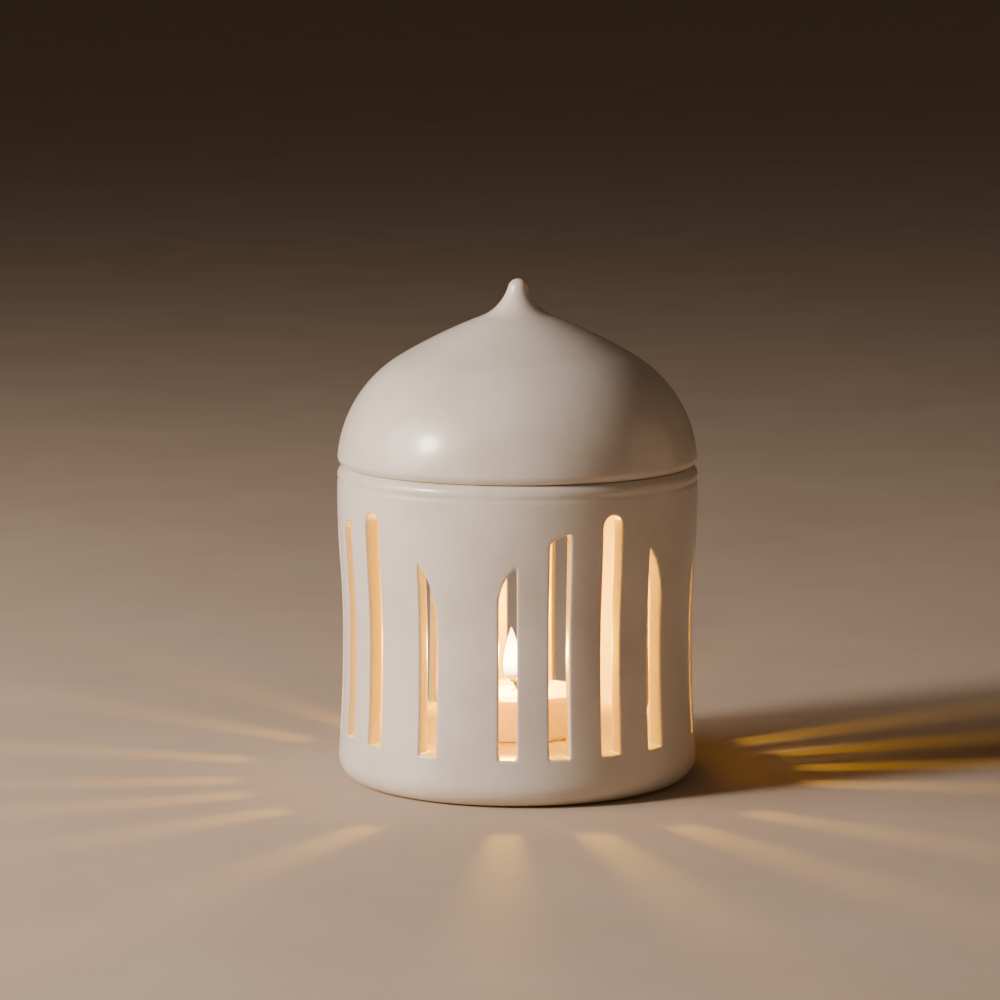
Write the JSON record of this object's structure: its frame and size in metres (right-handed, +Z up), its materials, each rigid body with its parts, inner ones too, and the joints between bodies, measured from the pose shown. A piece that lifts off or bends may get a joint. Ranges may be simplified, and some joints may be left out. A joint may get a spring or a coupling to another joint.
{
  "type": "lidded candle lantern",
  "caption": "Round ceramic candle holder with slots cut through its waisted wall, a loose domed lid with a pointed finial, and a small low candle inside.",
  "frame": {"origin": "middle of the foot ring, on the surface that the holder stands on", "axes": "+Z up along the holder's axis to the finial; -Y is the front, where the widest plain stretch of wall and the slots beside it face"},
  "size_m": [0.1008, 0.1008, 0.1403],
  "materials": {
    "glazed_ceramic_body": "satin off-white glaze over a pale clay",
    "glazed_ceramic_lid": "satin off-white glaze over a pale clay",
    "wax": "cream candle wax, slightly translucent",
    "tab_steel": "thin tinned steel",
    "wick_cotton": "braided cotton, charred at the tip"
  },
  "bodies": {
    "holder": {"holder_body": "glazed_ceramic_body"},
    "lid": {"lid": "glazed_ceramic_lid"},
    "candle": {"candle_wax": "wax", "wick_sustainer": "tab_steel", "wick": "wick_cotton"}
  },
  "joints": [
    {"name": "lid_lift", "type": "slide", "parent": "holder", "child": "lid", "axis": [0, 0, 1], "range_m": [0, 0.12]},
    {"name": "candle_lift", "type": "slide", "parent": "holder", "child": "candle", "axis": [0, 0, 1], "range_m": [0, 0.08]}
  ]
}
